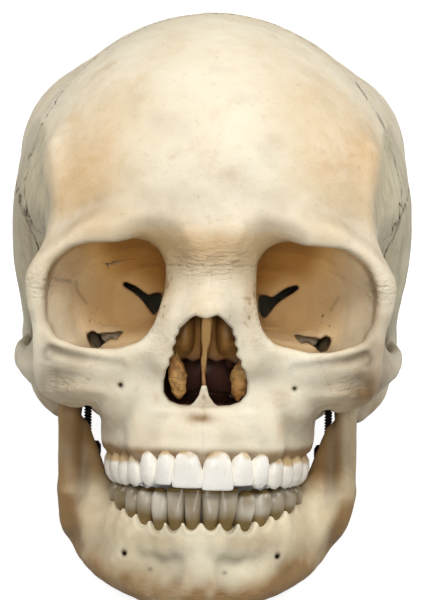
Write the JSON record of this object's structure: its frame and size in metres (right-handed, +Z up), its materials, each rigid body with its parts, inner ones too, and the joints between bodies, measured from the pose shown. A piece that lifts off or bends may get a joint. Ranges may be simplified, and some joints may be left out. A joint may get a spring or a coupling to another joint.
{
  "type": "human skull",
  "caption": "Life-size adult human skull with its lower jaw closed, each bone a separate solid, leaning back on its jaw and the back of the head.",
  "frame": {"origin": "centre of the bounding box at the floor", "axes": "+Z up, the face towards -Y and tipped up, +X the skull's left"},
  "size_m": [0.1412, 0.2134, 0.167],
  "materials": {
    "bone_pale": "dry pale bone",
    "bone_tan": "dry tan bone",
    "bone_grey": "dry grey bone",
    "bone_brown": "brown bone",
    "enamel": "glossy enamel",
    "steel_dark": "dark steel"
  },
  "bodies": {
    "root": {"frontal_bone": "bone_pale", "nasal_bone_right": "bone_pale", "nasal_bone_left": "bone_pale", "maxilla_right": "bone_pale", "maxilla_left": "bone_pale", "zygomatic_right": "bone_tan", "zygomatic_left": "bone_tan", "mandible": "bone_tan", "sphenoid": "bone_tan", "parietal_right": "bone_grey", "parietal_left": "bone_grey", "temporal_right": "bone_grey", "temporal_left": "bone_grey", "occipital_bone": "bone_grey", "nasal_septum": "bone_brown", "nasal_concha_right": "bone_brown", "nasal_concha_left": "bone_brown", "jaw_spring_right": "steel_dark", "jaw_spring_left": "steel_dark", "jaw_screw_right": "steel_dark", "jaw_screw_left": "steel_dark"}
  },
  "joints": []
}
